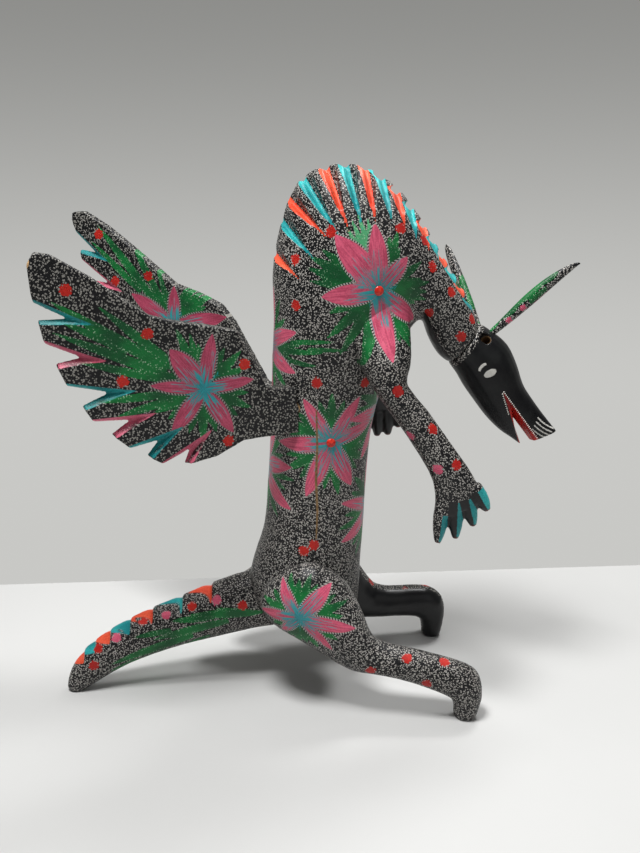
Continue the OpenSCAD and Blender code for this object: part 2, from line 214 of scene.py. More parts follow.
# each pair is a paint's deep and light tone; a look's size is a share of its spacing, and its
# other numbers are mm
orange = (colour(0.62, 0.045, 0.018), colour(0.90, 0.130, 0.055))
turquoise = (colour(0.004, 0.20, 0.22), colour(0.035, 0.47, 0.46))
wingPink = (colour(0.42, 0.060, 0.110), colour(0.72, 0.170, 0.260))
wingTeal = (colour(0.004, 0.15, 0.16), colour(0.020, 0.36, 0.36))
bodyLook = {"spacing": 1.35, "size": 0.385, "bend": 1.5, "stitch": 2.1, "heart": 17.0, "star": 8.0,
            "warm": orange, "cool": turquoise, "dot": paint["dot"],
            "petal": (colour(0.46, 0.058, 0.115), colour(0.70, 0.118, 0.205))}
# the wing's own notch colours and dot spacing, but its dots and petals are darker copies of the body's dot
# and petal paints: painted shade, for the wing lying in shade
wingLookWithPaintedShade = {"spacing": 1.6, "size": 0.375, "bend": 1.1, "stitch": 2.2, "heart": 15.0, "star": 9.0,
            "warm": wingPink, "cool": wingTeal, "dot": colour(0.28, 0.27, 0.245),
            "petal": (colour(0.32, 0.038, 0.080), colour(0.52, 0.080, 0.150))}
leafLook = {"spacing": 1.4, "size": 0.40, "bend": 1.0, "stitch": 2.0, "heart": 8.0, "star": 2.0,
            "warm": wingPink, "cool": turquoise, "dot": paint["dot"], "petal": bodyLook["petal"]}
bodyPaint = paintedWood("bodyPaint", bodyLook)
wingPaintWithPaintedShade = paintedWood("wingPaintWithPaintedShade", wingLookWithPaintedShade)
leafPaint = paintedWood("leafPaint", leafLook)


def headPaintMaterial():
    made, shader, brush = newMaterial("headPaint", 0.3, 0.22)
    place = brush.node("TexCoord", {}, out=3)
    bent = brush.shift(place, 1.5 * mm, 620.0)
    cells = brush.node("TexVoronoi", {"Vector": bent, "Scale": 625.0, "Randomness": 0.9})
    fine = brush.node("TexNoise", {"Vector": place, "Scale": 700.0, "Detail": 2.0})
    broad = brush.node("TexNoise", {"Vector": place, "Scale": 60.0, "Detail": 4.0})
    wave = (fine - 0.5) * 1.6
    black = brush.mix(broad.ramp(0.42, 0.72), paint["plain"], paint["plainWorn"])
    collar = (brush.field("collar") + wave * 2.0).ramp(-0.4, 0.4)
    dots = (cells - 0.41).ramp(0.05, -0.03) * collar
    tint = brush.mix(dots, black, paint["dot"])
    mouth = brush.field("mouth").ramp(-0.2, 0.15)
    red = brush.mix(broad.ramp(0.4, 0.6), colour(0.22, 0.006, 0.006), colour(0.46, 0.020, 0.014))
    tint = brush.mix(mouth, tint, red)
    white = (brush.field("white") + (fine - 0.5) * 0.5).ramp(-0.12, 0.15)
    tint = brush.mix(white, tint, brush.mix(fine, colour(0.55, 0.53, 0.48), colour(0.82, 0.81, 0.77)))
    bare = brush.field("bare").ramp(-0.2, 0.2)
    tint = brush.mix(bare, tint, brush.mix(broad, colour(0.06, 0.032, 0.012), colour(0.15, 0.085, 0.035)))
    rough = 0.36 + (broad - 0.5) * 0.2 + bare * 0.4 + dots * 0.1
    height = dots + white * 0.7 + fine * 0.2 + broad * 0.8
    finishMaterial(shader, brush, tint, rough, height, 0.0002)
    return made


def grainMaterial(name, dark, light, scale, roughness, depth):
    # fine fibres along the piece's own X, for bare wood, and for putty and enamel at other scales
    made, shader, brush = newMaterial(name, roughness)
    place = brush.node("TexCoord", {}, out=3)
    drawn = brush.node("Mapping", {"Vector": place, "Scale": scale})
    fibre = brush.node("TexNoise", {"Vector": drawn, "Scale": 1.0, "Detail": 5.0, "Distortion": 0.4})
    tint = brush.mix(fibre.ramp(0.3, 0.7), dark, light)
    finishMaterial(shader, brush, tint, roughness + (fibre - 0.5) * 0.25, fibre, depth)
    return made


headPaint = headPaintMaterial()
bareWood = grainMaterial("bareWood", colour(0.38, 0.21, 0.09), colour(0.66, 0.46, 0.25),
                         (90.0, 900.0, 900.0), 0.62, 0.0002)
putty = grainMaterial("putty", colour(0.13, 0.070, 0.028), colour(0.30, 0.19, 0.085),
                      (500.0, 500.0, 500.0), 0.7, 0.0004)
enamelRed = grainMaterial("enamelRed", colour(0.50, 0.012, 0.008), colour(0.80, 0.050, 0.024),
                          (350.0, 350.0, 350.0), 0.28, 0.0001)
enamelWhite = grainMaterial("enamelWhite", colour(0.62, 0.60, 0.54), colour(0.84, 0.83, 0.78),
                            (600.0, 600.0, 600.0), 0.32, 0.0001)
print("materials made")


# flowers: centre and outward normal, then petals as (angle, length, width) in mm, the angle in
# degrees from the figure's front towards up; strokes are extra leaves, as (angle, start, length,
# width), and leaves between the two mint angles are pale
def mirrored(flower, turn=0.0):
    x, y, z = flower["centre"]
    nx, ny, nz = flower["normal"]
    made = dict(flower, centre=(x, 2 * middleY - y, z), normal=(nx, -ny, nz))
    made["petals"] = [(angle + turn, length, width) for angle, length, width in flower["petals"]]
    return made


humpFlower = {
    "centre": (50, -40.5, 328.2), "normal": (0.29, -0.95, -0.06), "mint": (94, 128),
    "strokes": [(144, 4, 47, 8), (154, 4, 52, 9), (163, 6, 48, 8), (173, 14, 36, 6), (99, 22, 30, 4),
                (105, 20, 36, 4), (111, 18, 36, 4), (117, 20, 30, 4), (-104, 4, 52, 8), (-120, 4, 50, 8),
                (-136, 6, 44, 7), (72, 4, 40, 8), (8, 4, 34, 8), (-12, 4, 34, 7), (-60, 4, 46, 8)],
    "petals": [(128, 50, 19), (94, 47, 13.5), (50, 31, 12), (-38, 43, 12), (-84, 52, 15), (-173, 41, 15)]}
chestFlower = {
    "centre": (16.7, -36.4, 214.6), "normal": (0.12, -0.99, -0.03),
    "petals": [(121, 40, 10), (58, 41, 10), (18, 38, 10), (-66, 41, 13), (-114, 47, 13), (-175, 42, 12.5)]}
thighFlower = {
    "centre": (-7.5, -61.5, 82.9), "normal": (-0.35, -0.93, -0.13),
    "petals": [(126, 34, 10), (49, 37, 13), (-11, 44, 11), (-47, 37, 8), (-134, 24, 8), (-175, 36, 9)]}
backFlower = {
    "centre": (-34, -1, 283), "normal": (-1, 0, 0),
    "petals": [(24, 44, 13), (-27, 44, 13), (80, 46, 13), (-85, 42, 12), (154, 44, 13), (-152, 44, 13)],
    "strokes": [(0, 12, 48, 7), (12, 36, 34, 5), (-14, 34, 24, 5), (4, 50, 26, 5)]}
rumpFlower = {
    "centre": (-38, -1, 188), "normal": (-1, 0, 0.05),
    "petals": [(12, 40, 15), (-40, 50, 12), (66, 44, 12), (122, 44, 13), (178, 40, 13), (-118, 46, 12)]}
bellyFlower = {
    "centre": (43, -1, 152), "normal": (1, 0, 0),
    "petals": [(158, 40, 10), (212, 42, 11), (98, 44, 12), (32, 42, 11), (-28, 42, 11), (-88, 44, 12)]}
throatFlower = {
    "centre": (50, -1, 232), "normal": (1, 0, 0.05),
    "petals": [(120, 42, 11), (60, 42, 11), (0, 38, 11), (-62, 42, 11), (-120, 42, 11), (180, 38, 11)]}
bodyFlowers = [humpFlower, chestFlower, thighFlower, backFlower, rumpFlower, bellyFlower, throatFlower,
               mirrored(humpFlower, 4), mirrored(chestFlower, -7), mirrored(thighFlower, 6)]
tailStrokes = {
    "centre": (-30, -38, 66), "normal": (0.15, -0.98, 0), "petals": [],
    "strokes": [(182, 8, 62, 9), (193, 40, 60, 8), (198, 70, 68, 9), (185, 50, 34, 6), (203, 96, 46, 6),
                (190, 84, 30, 5), (201, 118, 24, 5), (176, 20, 30, 5), (205, 60, 26, 5)]}
tailFlowers = [tailStrokes, mirrored(tailStrokes)]

rightWingFlower = {
    "centre": (-73.6, -56.4, 261.2), "normal": (0.326, -0.9455, 0),
    "petals": [(127, 38, 16), (79, 40, 11), (7, 37, 10), (-59, 40, 12), (-128, 40, 12), (172, 38, 9)],
    "strokes": [(146, 30, 92, 8), (138, 22, 72, 7), (155, 26, 84, 7), (163, 28, 66, 6), (183, 22, 52, 6),
                (194, 24, 40, 6), (112, 18, 30, 6), (102, 14, 28, 5), (150, 60, 56, 5)]}
leftWingFlower = {
    "centre": (-111.2, 56.6, 285.1), "normal": (-0.326, -0.9455, 0),
    "petals": [(147, 46, 13), (87, 33, 10.5), (12, 49, 14), (-45, 40, 12), (-95, 38, 12), (-150, 36, 11)],
    "strokes": [(118, 16, 60, 7), (130, 24, 80, 8), (138, 40, 60, 6), (163, 22, 44, 6), (175, 18, 36, 6),
                (60, 14, 30, 6), (40, 20, 34, 6), (-10, 20, 34, 6), (105, 18, 34, 5)]}


def otherFace(flower, shift=11.0):
    # the same flower on the other face of a wing's board, shift mm away
    x, y, z = flower["centre"]
    nx, ny, nz = flower["normal"]
    return dict(flower, centre=(x - nx * shift, y - ny * shift, z), normal=(-nx, -ny, nz))


spots = {
    "body": [(16, -39, 369), (65, -35, 371), (-9, -31, 349), (-9, -33, 317), (6, -39, 261), (42, -32, 260),
             (4, -39, 133), (-4, -39, 128), (89, -28, 344), (104, -23, 325), (88, -25, 311),
             (121, -15, 304), (112, -23, 292), (83, -24, 362), (64, -58, 260), (89, -58, 232),
             (107, -61, 206), (75, -67, 52), (104, -66, 48), (47, -68, 41), (90, -72, 32),
             (-95, -18, 69), (-54, -22, 72), (-135, -20, 56), (-171, -30, 38), (-174, -34, 25)],
    "blush": [(-75, -18, 75), (-116, -20, 63), (-156, -27, 46), (93, -62, 203), (72, -58, 226)],
    "rightWing": [(-158, -84, 335), (-109, -68, 303), (-127, -74, 271), (-45, -47, 277), (-58, -51, 221)],
    "leftWing": [(-173, 79, 357), (-131, 64, 325), (-161, 75, 319), (-70, 43, 262), (-120, 60, 240)],
}


def rowDots(first, second):
    return np.einsum("ij,ij->i", first, second)


def surfaceOf(piece):
    count = len(piece.data.vertices)
    points = np.empty(count * 3)
    piece.data.vertices.foreach_get("co", points)
    normals = np.empty(count * 3)
    piece.data.vertices.foreach_get("normal", normals)
    return points.reshape(-1, 3) / mm, normals.reshape(-1, 3)


def placeOn(flower, points, normals):
    # positions rolled out on the flower's own plane, distances from its centre, and which points
    # face the same way
    normal = np.array(flower["normal"], float)
    normal /= np.linalg.norm(normal)
    up = np.array([0.0, 0.0, 1.0]) - normal * normal[2]
    up /= np.linalg.norm(up)
    front = np.cross(up, normal)
    if abs(normal[1]) > 0.5 and front[0] < 0:
        front = -front
    offset = points - np.array(flower["centre"])
    flat = np.stack([offset @ front, offset @ up], axis=1)
    reach = np.linalg.norm(offset, axis=1)
    flat *= (reach / np.maximum(np.linalg.norm(flat, axis=1), 0.01))[:, None]
    return flat, reach, normals @ normal > -0.15


def strokeField(flat, angle, start, length, width, waist):
    # mm inside a pointed stroke; waist is how far it has opened out at its start
    turn = math.radians(angle)
    along = flat @ np.array([math.cos(turn), math.sin(turn)]) - start
    across = flat @ np.array([-math.sin(turn), math.cos(turn)])
    part = waist + (1 - waist) * np.clip(along / length, 0, 1)
    half = width / 2 * (1 - (2 * part - 1) ** 2) ** 0.9
    field = half - np.abs(across) - np.maximum(along - length, 0) - 3 * np.maximum(-along, 0)
    return field, along + start, across


# degrees from one leaf to the next, and in mm where leaves start and how wide they are
leafSpread = {"gap": 17, "start": 3.0, "width": 8.0, "long": 0.92, "short": 0.78}


def leavesOf(flower):
    # strokes that fill the gaps between petals, shorter and longer in turn
    pale = flower.get("mint", (0, 0))
    leaves = [(*stroke, float(pale[0] < stroke[0] < pale[1])) for stroke in flower.get("strokes", ())]
    petals = sorted(flower["petals"], key=lambda petal: petal[0] % 360)
    for first, second in zip(petals, petals[1:] + petals[:1]):
        gap = (second[0] - first[0]) % 360
        count = max(1, round(gap / leafSpread["gap"]) - 1)
        for step in range(count):
            angle = first[0] + gap * (step + 1) / (count + 1)
            length = (first[1] + second[1]) / 2 * leafSpread["long" if step % 2 else "short"]
            isPale = float(pale[0] < angle < pale[1])
            leaves.append((angle, leafSpread["start"], length, leafSpread["width"], isPale))
    return leaves


flowerReach = 150                           # mm, past the longest petal or leaf


def flowerFields(flowers, points, normals):
    count = len(points)
    fields = {name: np.full(count, -far) for name in ("petal", "leaf")}
    fields.update({name: np.zeros(count) for name in ("along", "across", "mint")})
    fields["core"] = np.full(count, far)
    for flower in flowers:
        flat, reach, facing = placeOn(flower, points, normals)
        near = np.nonzero(facing & (reach < flowerReach))[0]
        flat, reach = flat[near], reach[near]
        for angle, length, width in flower["petals"]:
            field, along, across = strokeField(flat, angle, 0.0, length, width, 0.07)
            better = field > fields["petal"][near]
            chosen = near[better]
            fields["petal"][chosen] = field[better]
            fields["along"][chosen] = along[better]
            fields["across"][chosen] = across[better] + angle
        if flower["petals"]:
            fields["core"][near] = np.minimum(fields["core"][near], reach)
        for angle, start, length, width, mint in leavesOf(flower):
            field, along, across = strokeField(flat, angle, start, length, width, 0.2)
            better = field > fields["leaf"][near]
            fields["leaf"][near[better]] = field[better]
            fields["mint"][near[better]] = mint
    return fields


def spotField(places, points, radius):
    best = np.full(len(points), far)
    for place in places:
        best = np.minimum(best, np.linalg.norm(points - np.array(place), axis=1))
    return radius - best


def bothSides(places):
    return places + [(x, 2 * middleY - y, z) for x, y, z in places]


def spotFields(redPlaces, points):
    # radii in mm
    return {"spot": spotField(redPlaces, points, 3.7),
            "blush": spotField(bothSides(spots["blush"]), points, 3.6)}


def wedgeField(spots2d, depth, slim, wide):
    # mm inside a notch whose triangle opens from slim at depth 0 to wide at depth 1
    share = np.clip(depth, 0, 1)[:, None]
    apex, first, second = [np.array(a) * (1 - share) + np.array(b) * share for a, b in zip(slim, wide)]
    inner = (first + second) / 2 - apex
    field = np.full(len(spots2d), far)
    for corner in (first, second):
        edge = corner - apex
        side = np.stack([-edge[:, 1], edge[:, 0]], axis=1) / np.linalg.norm(edge, axis=1)[:, None]
        side *= np.sign(rowDots(side, inner))[:, None]
        field = np.minimum(field, rowDots(spots2d - apex, side))
    return field


# crest notches: x and z of the bottom on the middle plane, then of the bottom at side mm from that
# plane; its fall is carried on as far as deep mm. The mouth is lift mm above the bottom and mouth mm
# wide each way, and the paint ends backHigh or neckHigh mm above the bottom
crest = {
    "notches": [(-32, 348, -20, 339), (-27, 372, -12, 357), (-22, 388, -5, 373), (-11, 401, 4, 379),
                (5, 408, 14, 384), (19, 410, 25, 386), (33, 408, 36, 386), (45, 401, 48, 383),
                (56, 391, 58, 377), (66, 380, 67, 367), (76, 367, 77, 356), (84, 356, 85, 347),
                (91, 345, 92, 337), (98, 334, 99, 327), (105, 323, 106, 316), (112, 312, 113, 306)],
    "mouth": 9.0, "taper": 0.02, "lift": 8.0, "side": 28.0, "deep": 40.0, "foreWall": 2.2,
    "backCount": 8, "backHigh": 12.0, "neckHigh": 8.3}


def crestFields(points, normals=None):
    # orange and turquoise notches in turn, up the back and down the neck; with normals the colour
    # takes in a notch's hind wall and the foot of its fore wall, and stays off the ridges
    fields = [np.full(len(points), -far), np.full(len(points), -far)]
    flat = (points - carving)[:, [0, 2]]
    depth = np.abs(points[:, 1] - middleY) / crest["deep"]
    for index, (x, z, innerX, innerZ) in enumerate(crest["notches"]):
        bottom, end = np.array([x, z], float), np.array([innerX, innerZ], float)
        out = (bottom - end) / np.linalg.norm(bottom - end)
        sideways = np.array([-out[1], out[0]])
        across = sideways * crest["mouth"] * (1 - crest["taper"] * index)
        top = bottom + out * crest["lift"]
        corners = [top + across, top - across]
        inner = bottom + (end - bottom) * crest["deep"] / crest["side"]
        field = wedgeField(flat, depth, [bottom] + corners, [inner] + corners)
        aslant = (flat - bottom) @ sideways
        aside = crest["mouth"] + 1.0 - np.abs(aslant)
        if normals is not None:
            hindWall = np.clip((-normals[:, [0, 2]] @ sideways - 0.3) / 0.2, 0, 1) - 0.5
            foreWall = np.where(aslant > -crest["foreWall"], 1.5, -0.7)
            field = field + np.where(field > 0.2, 0.5, np.where(aslant > 0, hindWall, foreWall))
        high = crest["backHigh" if index < crest["backCount"] else "neckHigh"]
        above = high - (flat - bottom) @ out
        field = np.minimum(field, np.minimum(above, aside))
        fields[index % 2] = np.maximum(fields[index % 2], field)
    return fields


tailNotches = {
    "walls": [(-89, 82.4), (-113, 73.4), (-137, 64.6), (-155, 56.6), (-171, 48.4), (-183, 40.9), (-192, 31.9),
              (-199, 23.9)],
    "side": [19, 17.1, 15.6, 14, 12.2, 11, 9.6, 8], "middle": [-3, -6.7, -10.5, -14, -18, -21, -24, -26],
    "up": (-0.25, 0.97), "lift": 8, "foot": 2.5, "deep": 8, "shallower": 0.7, "spread": 0.6}


def tailFields(points):
    # orange and turquoise notches in turn, each from the foot of one upright wall up to the top of
    # the next
    fields = [np.full(len(points), -far), np.full(len(points), -far)]
    flat = (points - carving)[:, [0, 2]]
    up = np.array(tailNotches["up"])
    walls = [np.array(wall, float) for wall in tailNotches["walls"]]
    for index, (start, end) in enumerate(zip(walls, walls[1:])):
        depth = np.abs(points[:, 1] - middleY - tailNotches["middle"][index]) / tailNotches["side"][index]
        deep = tailNotches["deep"] - tailNotches["shallower"] * index
        outer = [start + up * tailNotches["lift"], end + up * 0.5]
        slim = [start - up * tailNotches["foot"]] + outer
        wide = [start - up * deep * 1.4] + outer
        field = wedgeField(flat, depth, slim, wide)
        between = np.minimum(start[0] - flat[:, 0], flat[:, 0] - end[0]) + tailNotches["spread"]
        fields[index % 2] = np.maximum(fields[index % 2], np.minimum(field, between))
    return fields


# a wing's notches are (apex, upper corner, lower corner), outward and upward from its root in mm
wingSettings = {
    "sweep": 19.0, "thick": 13.0, "cutRun": 24.0, "cutSide": 4.5, "pegRadius": 5.7,
    "right": {"side": -1, "root": (-22, -29, 240), "notches": [
        ((155, 76), (182, 91), (180, 76)), ((148, 49), (175, 62), (170, 45)),
        ((131, 23), (164, 31), (155, 13)), ((118, 2), (148, 3), (137, -11)),
        ((99, -15), (123, -20), (111, -30)), ((77, -24), (100, -35), (83, -39))]},
    "left": {"side": 1, "root": (-22, 29, 226), "notches": [
        ((174, 116), (198, 138), (200, 120)), ((163, 91), (191, 112), (188, 94)),
        ((146, 62), (184, 77), (178, 58)), ((136, 34), (170, 45), (163, 26)),
        ((120, 8), (154, 12), (144, -3)), ((100, -9), (125, -14), (115, -26))]}}


def wingFields(points, wing):
    # turquoise and pink notches in turn from the wing's tip, and the bare peg at its root
    turn = math.radians(wingSettings["sweep"])
    outward = np.array([-math.cos(turn), wing["side"] * math.sin(turn), 0.0])
    offset = points - carving - np.array(wing["root"])
    out = offset @ outward
    flat = np.stack([out, offset[:, 2]], axis=1)
    through = offset @ np.array([outward[1], -outward[0], 0.0])
    half = wingSettings["thick"] / 2
    fields = [np.full(len(points), -far), np.full(len(points), -far)]
    for index, notch in enumerate(wing["notches"]):
        apex, upper, lower = [np.array(corner, float) for corner in notch]
        inward = apex - (upper + lower) / 2
        spread = (upper - lower) * wingSettings["cutSide"] / np.linalg.norm(upper - lower)
        deepest = apex + inward * wingSettings["cutRun"] / np.linalg.norm(inward)
        wide = [deepest, upper + spread, lower - spread]
        field = wedgeField(flat, np.abs(through) / half, (apex, upper, lower), wide)
        fields[index % 2] = np.maximum(fields[index % 2], field)
    peg = np.minimum(-out - 1.0, wingSettings["pegRadius"] - np.hypot(through, offset[:, 2]))
    return fields, peg


fieldNames = ("petal", "along", "across", "leaf", "mint", "core", "warm", "cool", "spot", "blush", "plain",
              "tips", "bare")


def layPaint(piece, fields, names=fieldNames):
    for name in names:
        values = fields.get(name, np.full(len(piece.data.vertices), -far))
        layer = piece.data.attributes.new(name, "FLOAT", "POINT")
        layer.data.foreach_set("value", np.asarray(values, np.float32))


def pickOnly(piece):
    bpy.ops.object.select_all(action="DESELECT")
    piece.select_set(True)
    bpy.context.view_layer.objects.active = piece


def addModifier(piece, kind, **settings):
    pickOnly(piece)
    modifier = piece.modifiers.new(kind.lower(), kind)
    for name, value in settings.items():
        setattr(modifier, name, value)
    bpy.ops.object.modifier_apply(modifier=modifier.name)


def finishedCopy(node, name, voxel):
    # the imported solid's shape as one even skin, ready for paint
    piece = bpy.data.objects.new(name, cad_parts[node].data.copy())
    bpy.context.collection.objects.link(piece)
    pickOnly(piece)
    bpy.ops.object.mode_set(mode="EDIT")
    bpy.ops.mesh.select_all(action="SELECT")
    bpy.ops.mesh.remove_doubles(threshold=0.000002)
    bpy.ops.object.mode_set(mode="OBJECT")
    addModifier(piece, "REMESH", mode="VOXEL", voxel_size=voxel * mm)
    return piece


def soften(piece, keep, rounds):
    # smooths the skin, less where keep is low, and where it is 0 only by the few rounds at the end
    group = piece.vertex_groups.new(name="soft")
    for level in range(1, 11):
        chosen = np.nonzero(np.round(keep * 10) == level)[0]
        group.add(chosen.tolist(), level / 10, "REPLACE")
    addModifier(piece, "SMOOTH", factor=0.5, iterations=rounds, vertex_group="soft")
    piece.vertex_groups.clear()
    addModifier(piece, "SMOOTH", factor=0.5, iterations=3)


carveMarks = bpy.data.textures.new("carveMarks", "CLOUDS")
carveMarks.noise_scale = 0.016


def carve(piece, depth):
    addModifier(piece, "DISPLACE", texture=carveMarks, strength=depth * mm, mid_level=0.5,
                texture_coords="LOCAL")


def sinkInto(piece, tree, depth, reach, ease=None):
    # skin within reach mm of the trunk goes up to depth mm inwards, so that no gap shows; ease is
    # the height in mm where the piece begins and the drop over which it comes fully proud
    search = (24 if ease else 6) * mm
    for vertex in piece.data.vertices:
        spot, normal = tree.find_nearest(vertex.co, search)[:2]
        if spot is None:
            continue
        height = (vertex.co - spot).dot(normal) / mm
        share = min(1.0, max(0.0, (reach - height) / reach))
        if ease and height > 0:
            rise = min(1.0, max(0.0, (ease[0] - vertex.co.z / mm) / ease[1]))
            vertex.co = vertex.co - normal * (height * mm * (1 - rise * rise * (3 - 2 * rise)))
        vertex.co = vertex.co - normal * (depth * mm * share)


def finishPiece(piece, material, node, body):
    piece.data.materials.clear()
    piece.data.materials.append(material)
    pickOnly(piece)
    bpy.ops.object.shade_smooth()
    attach(piece, body)
    if node:
        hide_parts(node)


def treeOf(piece):
    return BVHTree.FromObject(piece, bpy.context.evaluated_depsgraph_get())


# trunk
trunkSettings = {"voxel": 1.32, "rounds": 40, "carve": 0.5, "under": (-0.62, 0.0, -0.78),
                 "underFrom": 0.74, "plainFrom": 84}
trunk = finishedCopy("trunk", "paintedTrunk", trunkSettings["voxel"])
points, normals = surfaceOf(trunk)
warm, cool = crestFields(points)
inNotch = np.maximum(warm, cool)
crestHigh = np.clip((-inNotch - 1.5) / 6, 0, 1)
soften(trunk, crestHigh, trunkSettings["rounds"])
carve(trunk, trunkSettings["carve"])
points, normals = surfaceOf(trunk)
fields = flowerFields(bodyFlowers, points, normals)
fields["warm"], fields["cool"] = crestFields(points, normals)
fields.update(spotFields(bothSides(spots["body"]), points))
underNeck = (normals @ np.array(trunkSettings["under"]) - trunkSettings["underFrom"]) * 16
fields["plain"] = np.minimum(underNeck, points[:, 0] - trunkSettings["plainFrom"])
layPaint(trunk, fields)
trunkTree = treeOf(trunk)
finishPiece(trunk, bodyPaint, "trunk", "figure")
print("trunk done:", len(trunk.data.vertices), "points")


def limb(node, name, settings, fieldsOf):
    # any painted piece that was carved apart; fieldsOf gives the paint that is its own
    piece = finishedCopy(node, name, settings["voxel"])
    points, normals = surfaceOf(piece)
    keep = settings["keep"](points) if "keep" in settings else np.ones(len(points))
    soften(piece, keep, settings["rounds"])
    carve(piece, settings["carve"])
    if "sink" in settings:
        sinkInto(piece, trunkTree, **settings["sink"])
    points, normals = surfaceOf(piece)
    fields = flowerFields(settings["flowers"], points, normals)
    fields.update(spotFields(settings["spots"], points))
    fields.update(fieldsOf(points, normals))
    layPaint(piece, fields)
    finishPiece(piece, settings["material"], node, settings["body"])
    print(name, "done:", len(piece.data.vertices), "points")


# arms and hands: fingers as (base x, base z, tip x, tip z), from the hind one forwards; each is
# painted from start along it, the hind one from hindStart
hands = {
    "half": 6.4, "start": 3.0, "hindStart": 12.0, "plainStart": 2.0, "nail": 1.6,
    "right": [(91, 178, 88, 142), (100, 180, 101, 146), (107, 182, 114, 156), (113, 187, 124, 168)],
    "left": [(42, 224, 38, 198), (48, 223, 48, 193), (55, 223, 57, 194), (60, 225, 66, 201)]}


def handFields(points, normals, fingers, inner):
    # fingers turquoise on their fore half and black on their hind half, and black on the piece's
    # inner side, where inner is the sign of that side's Y
    cool = np.full(len(points), -far)
    plain = (normals[:, 1] * inner - 0.45) * 14
    tips = np.full(len(points), -far)
    flat = (points - carving)[:, [0, 2]]
    for index, (x, z, tipX, tipZ) in enumerate(fingers):
        base, tip = np.array([x, z], float), np.array([tipX, tipZ], float)
        length = np.linalg.norm(tip - base)
        way = (tip - base) / length
        along = (flat - base) @ way
        across = (flat - base) @ np.array([-way[1], way[0]])
        start = hands["start" if index else "hindStart"]
        side = hands["half"] - np.abs(across)
        inside = np.minimum(along - start, side)
        cool = np.maximum(cool, np.minimum(inside, across - 0.2))
        if index:
            edge = np.minimum(np.minimum(along - hands["plainStart"], side), 0.4 - across)
            plain = np.maximum(plain, edge)
        tips = np.maximum(tips, np.minimum(along - length + hands["nail"], side))
    cool = np.minimum(cool, (0.35 - normals[:, 1] * inner) * 14)
    return {"cool": cool, "plain": plain, "tips": tips}


armSettings = {"voxel": 1.1, "rounds": 14, "carve": 0.4, "flowers": bodyFlowers,
               "spots": bothSides(spots["body"]), "material": bodyPaint, "body": "figure",
               "slot": "painted_wood", "sink": {"depth": 1.2, "reach": 4.5, "ease": (330, 56)},
               "keep": lambda points: np.clip((points[:, 2] - 196) / 20, 0.1, 1)}
limb("right_arm", "paintedRightArm", armSettings,
     lambda points, normals: handFields(points, normals, hands["right"], 1))
limb("left_arm", "paintedLeftArm",
     dict(armSettings, keep=lambda points: np.clip((points[:, 2] - 226) / 20, 0.1, 1)),
     lambda points, normals: handFields(points, normals, hands["left"], -1))

# legs, plain black on their inner sides
legSettings = {"voxel": 1.15, "rounds": 22, "carve": 0.5, "flowers": bodyFlowers,
               "spots": bothSides(spots["body"]) + [(55, 50, 58), (84, 54, 52)], "material": bodyPaint,
               "body": "figure", "slot": "painted_wood", "sink": {"depth": 3.0, "reach": 1.7}}
limb("right_leg", "paintedRightLeg", legSettings,
     lambda points, normals: {"plain": np.minimum((normals[:, 1] - 0.55) * 14, points[:, 0] - 40)})
limb("left_leg", "paintedLeftLeg", legSettings,
     lambda points, normals: {"plain": np.minimum((-normals[:, 1] - 0.35) * 14, points[:, 0] - 20)})


# tail, saw-notched along its top
def tailPaint(points, normals):
    warm, cool = tailFields(points)
    return {"warm": warm + 0.6, "cool": cool + 0.6}


tailSettings = dict(legSettings, voxel=1.1, rounds=16, flowers=bodyFlowers + tailFlowers,
                    spots=spots["body"],
                    keep=lambda points: np.clip((-np.maximum(*tailFields(points)) - 1.5) / 6, 0, 1))
limb("tail", "paintedTail", tailSettings, tailPaint)


# wings
def wingPiece(side, node, name, flower, dots, wornTips=()):
    wing = wingSettings[side]

    def wingPaintFields(points, normals):
        (cool, warm), peg = wingFields(points, wing)
        worn = spotField(wornTips, points, 4.0)
        return {"warm": warm + 0.5, "cool": cool + 0.5, "bare": np.maximum(peg, worn)}

    other = otherFace(flower)
    across = np.array(other["centre"]) - np.array(flower["centre"])
    settings = {"voxel": 0.95, "rounds": 6, "carve": 0.45, "flowers": [flower, other],
                "spots": dots + [tuple(np.array(dot) + across) for dot in dots],
                "material": wingPaintWithPaintedShade, "body": node, "slot": "painted_wing",
                "keep": lambda points: np.clip((-np.maximum(*wingFields(points, wing)[0]) - 1.0) / 4, 0, 1)}
    limb(node, name, settings, wingPaintFields)


wingPiece("right", "right_wing", "paintedRightWing", rightWingFlower, spots["rightWing"],
          [(-182, -89, 353)])
wingPiece("left", "left_wing", "paintedLeftWing", leftWingFlower, spots["leftWing"])


# horn and ear: dotted, green along one edge and in a strip, with a pink edge and spots; lengths
# in mm from the root
leafSettings = {"spots": (18, 32), "spotRadius": 2.0, "strip": (38, 54), "stripHalf": 1.9,
                "pinkEdge": (40, 56), "pegEnd": 3.0, "pegRadius": 6.0}


